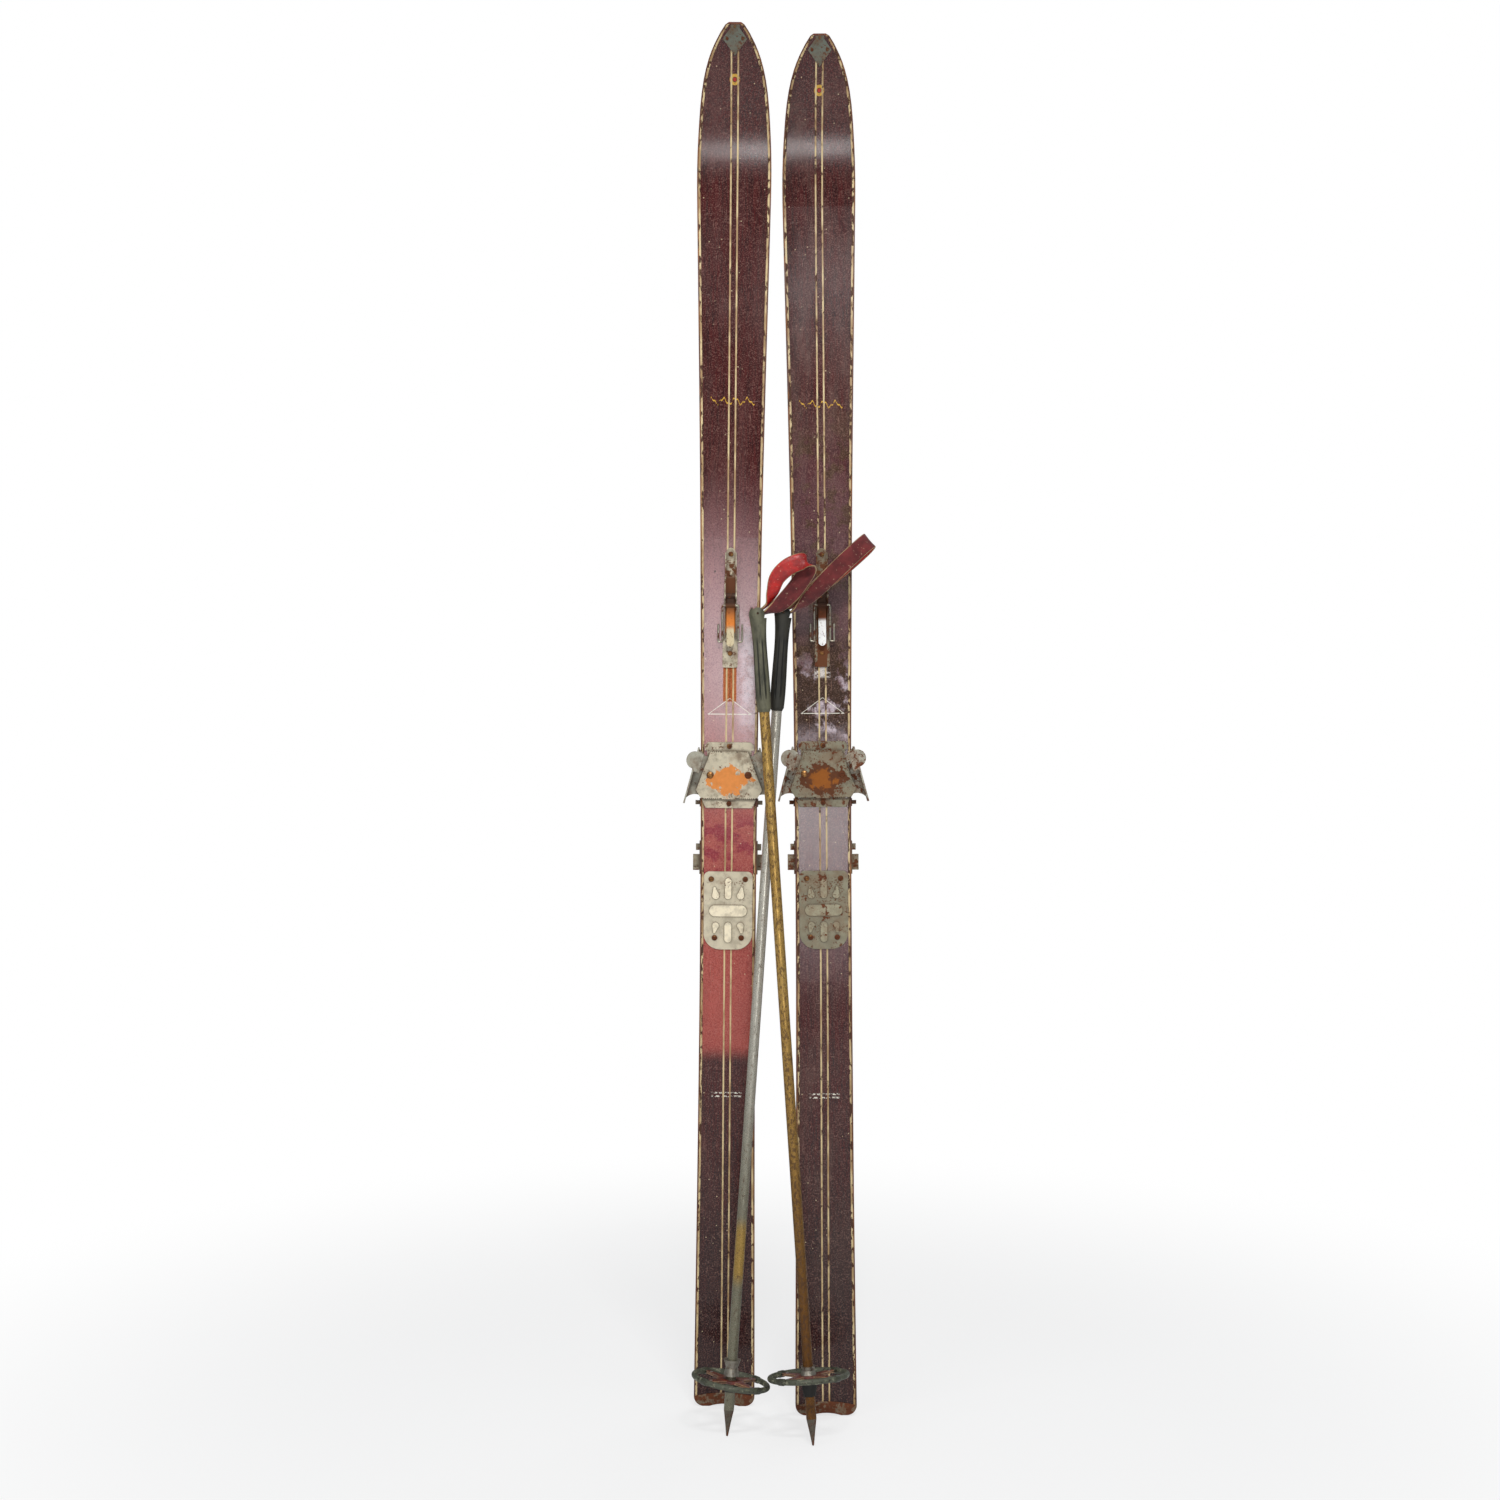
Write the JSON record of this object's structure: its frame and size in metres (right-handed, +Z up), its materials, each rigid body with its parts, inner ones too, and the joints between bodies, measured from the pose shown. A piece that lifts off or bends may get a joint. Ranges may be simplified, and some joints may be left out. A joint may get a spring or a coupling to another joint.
{
  "type": "pair of laminated wooden skis with front-throw bindings and poles",
  "caption": "Pair of vintage laminated wooden skis with toe irons and front-throw cable bindings, with a pair of steel poles with leather straps and baskets.",
  "frame": {"origin": "on the floor, under the middle of the set's bounding box", "axes": "+Z up along the standing skis towards the tips, -Y out of the binding side, +X to the right seen from the binding side"},
  "size_m": [0.2414, 0.2513, 1.7537],
  "materials": {
    "core_wood": "oiled laminated hickory, dark with age",
    "sole_wood": "lacquered wood running surface, worn along the edges",
    "edge_steel": "bare steel edge, brown rust in spots",
    "maroon_lacquer": "dark maroon lacquer, scratched and dusty",
    "cream_plastic": "aged cream plastic, chipped",
    "end_plate_metal": "grey-green painted sheet, flaking",
    "rusty_plate": "rusty sheet steel",
    "rusty_fasteners": "rusty steel screws and nails",
    "binding_paint": "beige-grey painted steel, worn to rust",
    "throw_metal": "plated steel channel, rust-brown inside",
    "lever_chrome": "bright plating with rust specks",
    "wire_steel": "plated spring wire",
    "brass_shaft": "brassy plated tube, heavily pitted with rust",
    "silver_shaft": "nickel-plated tube, spotted",
    "grip_rubber": "moulded dark olive rubber grip",
    "ring_cover": "dark green-grey covered ring",
    "web_leather": "red-brown leather web",
    "strap_leather": "red leather strap, maroon suede on the inside",
    "hub_metal": "turned plated collar and dark stop below",
    "spike_steel": "dark steel point",
    "rivet_steel": "bright rivets"
  },
  "bodies": {
    "left_ski": {"left_ski_core": "core_wood", "left_sole": "sole_wood", "left_steel_edges": "edge_steel", "left_edge_screws": "edge_steel", "left_top_sheet": "maroon_lacquer", "left_top_edge_strips": "cream_plastic", "left_centre_stripes": "cream_plastic", "left_tip_plate": "end_plate_metal", "left_tail_plate": "rusty_plate", "left_plate_nails": "rusty_fasteners", "left_throw_base": "throw_metal", "left_throw_axle": "wire_steel", "left_toe_plate": "binding_paint", "left_toe_cover": "binding_paint", "left_foot_plate": "binding_paint", "left_binding_screws": "rusty_fasteners", "left_side_hooks": "binding_paint"},
    "left_lever": {"left_throw_lever": "lever_chrome"},
    "left_bail": {"left_cable_bail": "wire_steel"},
    "left_wing_left": {"left_toe_wing_left": "binding_paint"},
    "left_wing_right": {"left_toe_wing_right": "binding_paint"},
    "right_ski": {"right_ski_core": "core_wood", "right_sole": "sole_wood", "right_steel_edges": "edge_steel", "right_edge_screws": "edge_steel", "right_top_sheet": "maroon_lacquer", "right_top_edge_strips": "cream_plastic", "right_centre_stripes": "cream_plastic", "right_tip_plate": "end_plate_metal", "right_tail_plate": "rusty_plate", "right_plate_nails": "rusty_fasteners", "right_throw_base": "throw_metal", "right_throw_axle": "wire_steel", "right_toe_plate": "binding_paint", "right_toe_cover": "binding_paint", "right_foot_plate": "binding_paint", "right_binding_screws": "rusty_fasteners", "right_side_hooks": "binding_paint"},
    "right_lever": {"right_throw_lever": "lever_chrome"},
    "right_bail": {"right_cable_bail": "wire_steel"},
    "right_wing_left": {"right_toe_wing_left": "binding_paint"},
    "right_wing_right": {"right_toe_wing_right": "binding_paint"},
    "front_pole": {"front_pole_shaft": "brass_shaft", "front_pole_grip": "grip_rubber", "front_pole_strap_pin": "wire_steel", "front_pole_spike": "spike_steel", "front_pole_basket_hub": "hub_metal"},
    "front_pole_basket": {"front_pole_basket_ring": "ring_cover", "front_pole_basket_web": "web_leather", "front_pole_basket_rivets": "rivet_steel"},
    "front_pole_strap": {"front_pole_strap": "strap_leather"},
    "rear_pole": {"rear_pole_shaft": "silver_shaft", "rear_pole_grip": "grip_rubber", "rear_pole_strap_pin": "wire_steel", "rear_pole_spike": "spike_steel", "rear_pole_basket_hub": "hub_metal"},
    "rear_pole_basket": {"rear_pole_basket_ring": "ring_cover", "rear_pole_basket_web": "web_leather", "rear_pole_basket_rivets": "rivet_steel"},
    "rear_pole_strap": {"rear_pole_strap": "strap_leather"}
  },
  "joints": [
    {"name": "right_ski_part", "type": "slide", "parent": "left_ski", "child": "right_ski", "axis": [1, 0, 0], "range_m": [0, 0.3]},
    {"name": "left_throw_swing", "type": "hinge", "parent": "left_ski", "child": "left_lever", "pos_m": [-0.06084, 0.02934, 1.05179], "axis": [-1, 0, 0.0088], "range_deg": [0, 175]},
    {"name": "left_bail_swing", "type": "hinge", "parent": "left_lever", "child": "left_bail", "pos_m": [-0.06094, 0.02934, 1.03979], "axis": [-1, 0, 0.0088], "range_deg": [-175, 0]},
    {"name": "left_wing_left_adjust", "type": "slide", "parent": "left_ski", "child": "left_wing_left", "axis": [1, 0, -0.0088], "range_m": [0, 0.006]},
    {"name": "left_wing_right_adjust", "type": "slide", "parent": "left_ski", "child": "left_wing_right", "axis": [-1, 0, 0.0088], "range_m": [0, 0.006]},
    {"name": "right_throw_swing", "type": "hinge", "parent": "right_ski", "child": "right_lever", "pos_m": [0.05508, 0.05394, 1.05236], "axis": [-1, -0.0004, -0.0062], "range_deg": [0, 70]},
    {"name": "right_bail_swing", "type": "hinge", "parent": "right_lever", "child": "right_bail", "pos_m": [0.05515, 0.05325, 1.04038], "axis": [-1, -0.0004, -0.0062], "range_deg": [-70, 0]},
    {"name": "right_wing_left_adjust", "type": "slide", "parent": "right_ski", "child": "right_wing_left", "axis": [1, 0.0004, 0.0062], "range_m": [0, 0.006]},
    {"name": "right_wing_right_adjust", "type": "slide", "parent": "right_ski", "child": "right_wing_right", "axis": [-1, -0.0004, -0.0062], "range_m": [0, 0.006]},
    {"name": "poles_lift_off", "type": "slide", "parent": "left_ski", "child": "rear_pole", "axis": [0, -1, 0], "range_m": [0, 0.3]},
    {"name": "front_pole_lift_off", "type": "slide", "parent": "rear_pole", "child": "front_pole", "axis": [0, -1, 0], "range_m": [0, 0.3]},
    {"name": "front_pole_basket_spin", "type": "hinge", "parent": "front_pole", "child": "front_pole_basket", "pos_m": [0.03669, -0.07555, 0.07955], "axis": [-0.0663, 0.0822, 0.9944], "continuous": true},
    {"name": "front_pole_strap_swing", "type": "hinge", "parent": "front_pole", "child": "front_pole_strap", "pos_m": [-0.02668, 0.00297, 1.02921], "axis": [0, -0.9966, 0.0824], "range_deg": [0, 60]},
    {"name": "rear_pole_basket_spin", "type": "hinge", "parent": "rear_pole", "child": "rear_pole_basket", "pos_m": [-0.05974, -0.04415, 0.07966], "axis": [0.0684, 0.0621, 0.9957], "continuous": true},
    {"name": "rear_pole_strap_swing", "type": "hinge", "parent": "rear_pole", "child": "rear_pole_strap", "pos_m": [0.00554, 0.01519, 1.03057], "axis": [0, -0.9981, 0.0623], "range_deg": [0, 45]}
  ],
  "couplings": [
    {"joint": "left_bail_swing", "follows": "left_throw_swing", "ratio": -1},
    {"joint": "right_bail_swing", "follows": "right_throw_swing", "ratio": -1}
  ]
}
